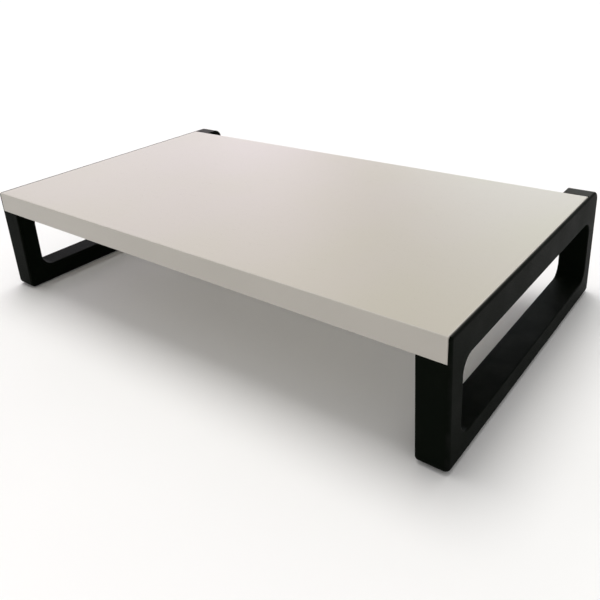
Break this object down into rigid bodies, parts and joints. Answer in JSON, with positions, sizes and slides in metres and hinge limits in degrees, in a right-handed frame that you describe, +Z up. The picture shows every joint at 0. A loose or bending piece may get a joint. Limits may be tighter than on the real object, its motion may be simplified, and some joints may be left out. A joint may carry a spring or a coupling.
{
  "type": "monitor riser",
  "caption": "Fixed monitor riser: a flat white board on black loop-shaped side frames with a lip beside the board and a block behind it.",
  "frame": {"origin": "middle of the footprint, on the surface that the feet stand on", "axes": "+X to the right along the board's front edge, +Y to the back, +Z up"},
  "size_m": [0.5, 0.293, 0.103],
  "materials": {
    "chipboard": "raw chipboard, hidden",
    "white_laminate": "satin warm white laminate with a very fine texture",
    "white_edge_band": "satin warm white with eased edges",
    "insert_brass": "turned, hidden",
    "frame_plastic": "satin black moulded plastic with a fine grain",
    "cover_plastic": "satin black moulded plastic with a fine grain",
    "screw_steel": "zinc-plated",
    "foot_rubber": "matt"
  },
  "bodies": {
    "root": {"board_core": "chipboard", "top_laminate": "white_laminate", "underside_laminate": "white_laminate", "front_edge_band": "white_edge_band", "rear_edge_band": "white_edge_band", "left_edge_band": "white_edge_band", "right_edge_band": "white_edge_band", "left_board_inserts": "insert_brass", "right_board_inserts": "insert_brass", "left_frame_shell": "frame_plastic", "right_frame_shell": "frame_plastic", "left_frame_cover": "cover_plastic", "right_frame_cover": "cover_plastic", "left_frame_screws": "screw_steel", "right_frame_screws": "screw_steel", "front_left_foot": "foot_rubber", "front_right_foot": "foot_rubber", "rear_left_foot": "foot_rubber", "rear_right_foot": "foot_rubber"}
  },
  "joints": []
}
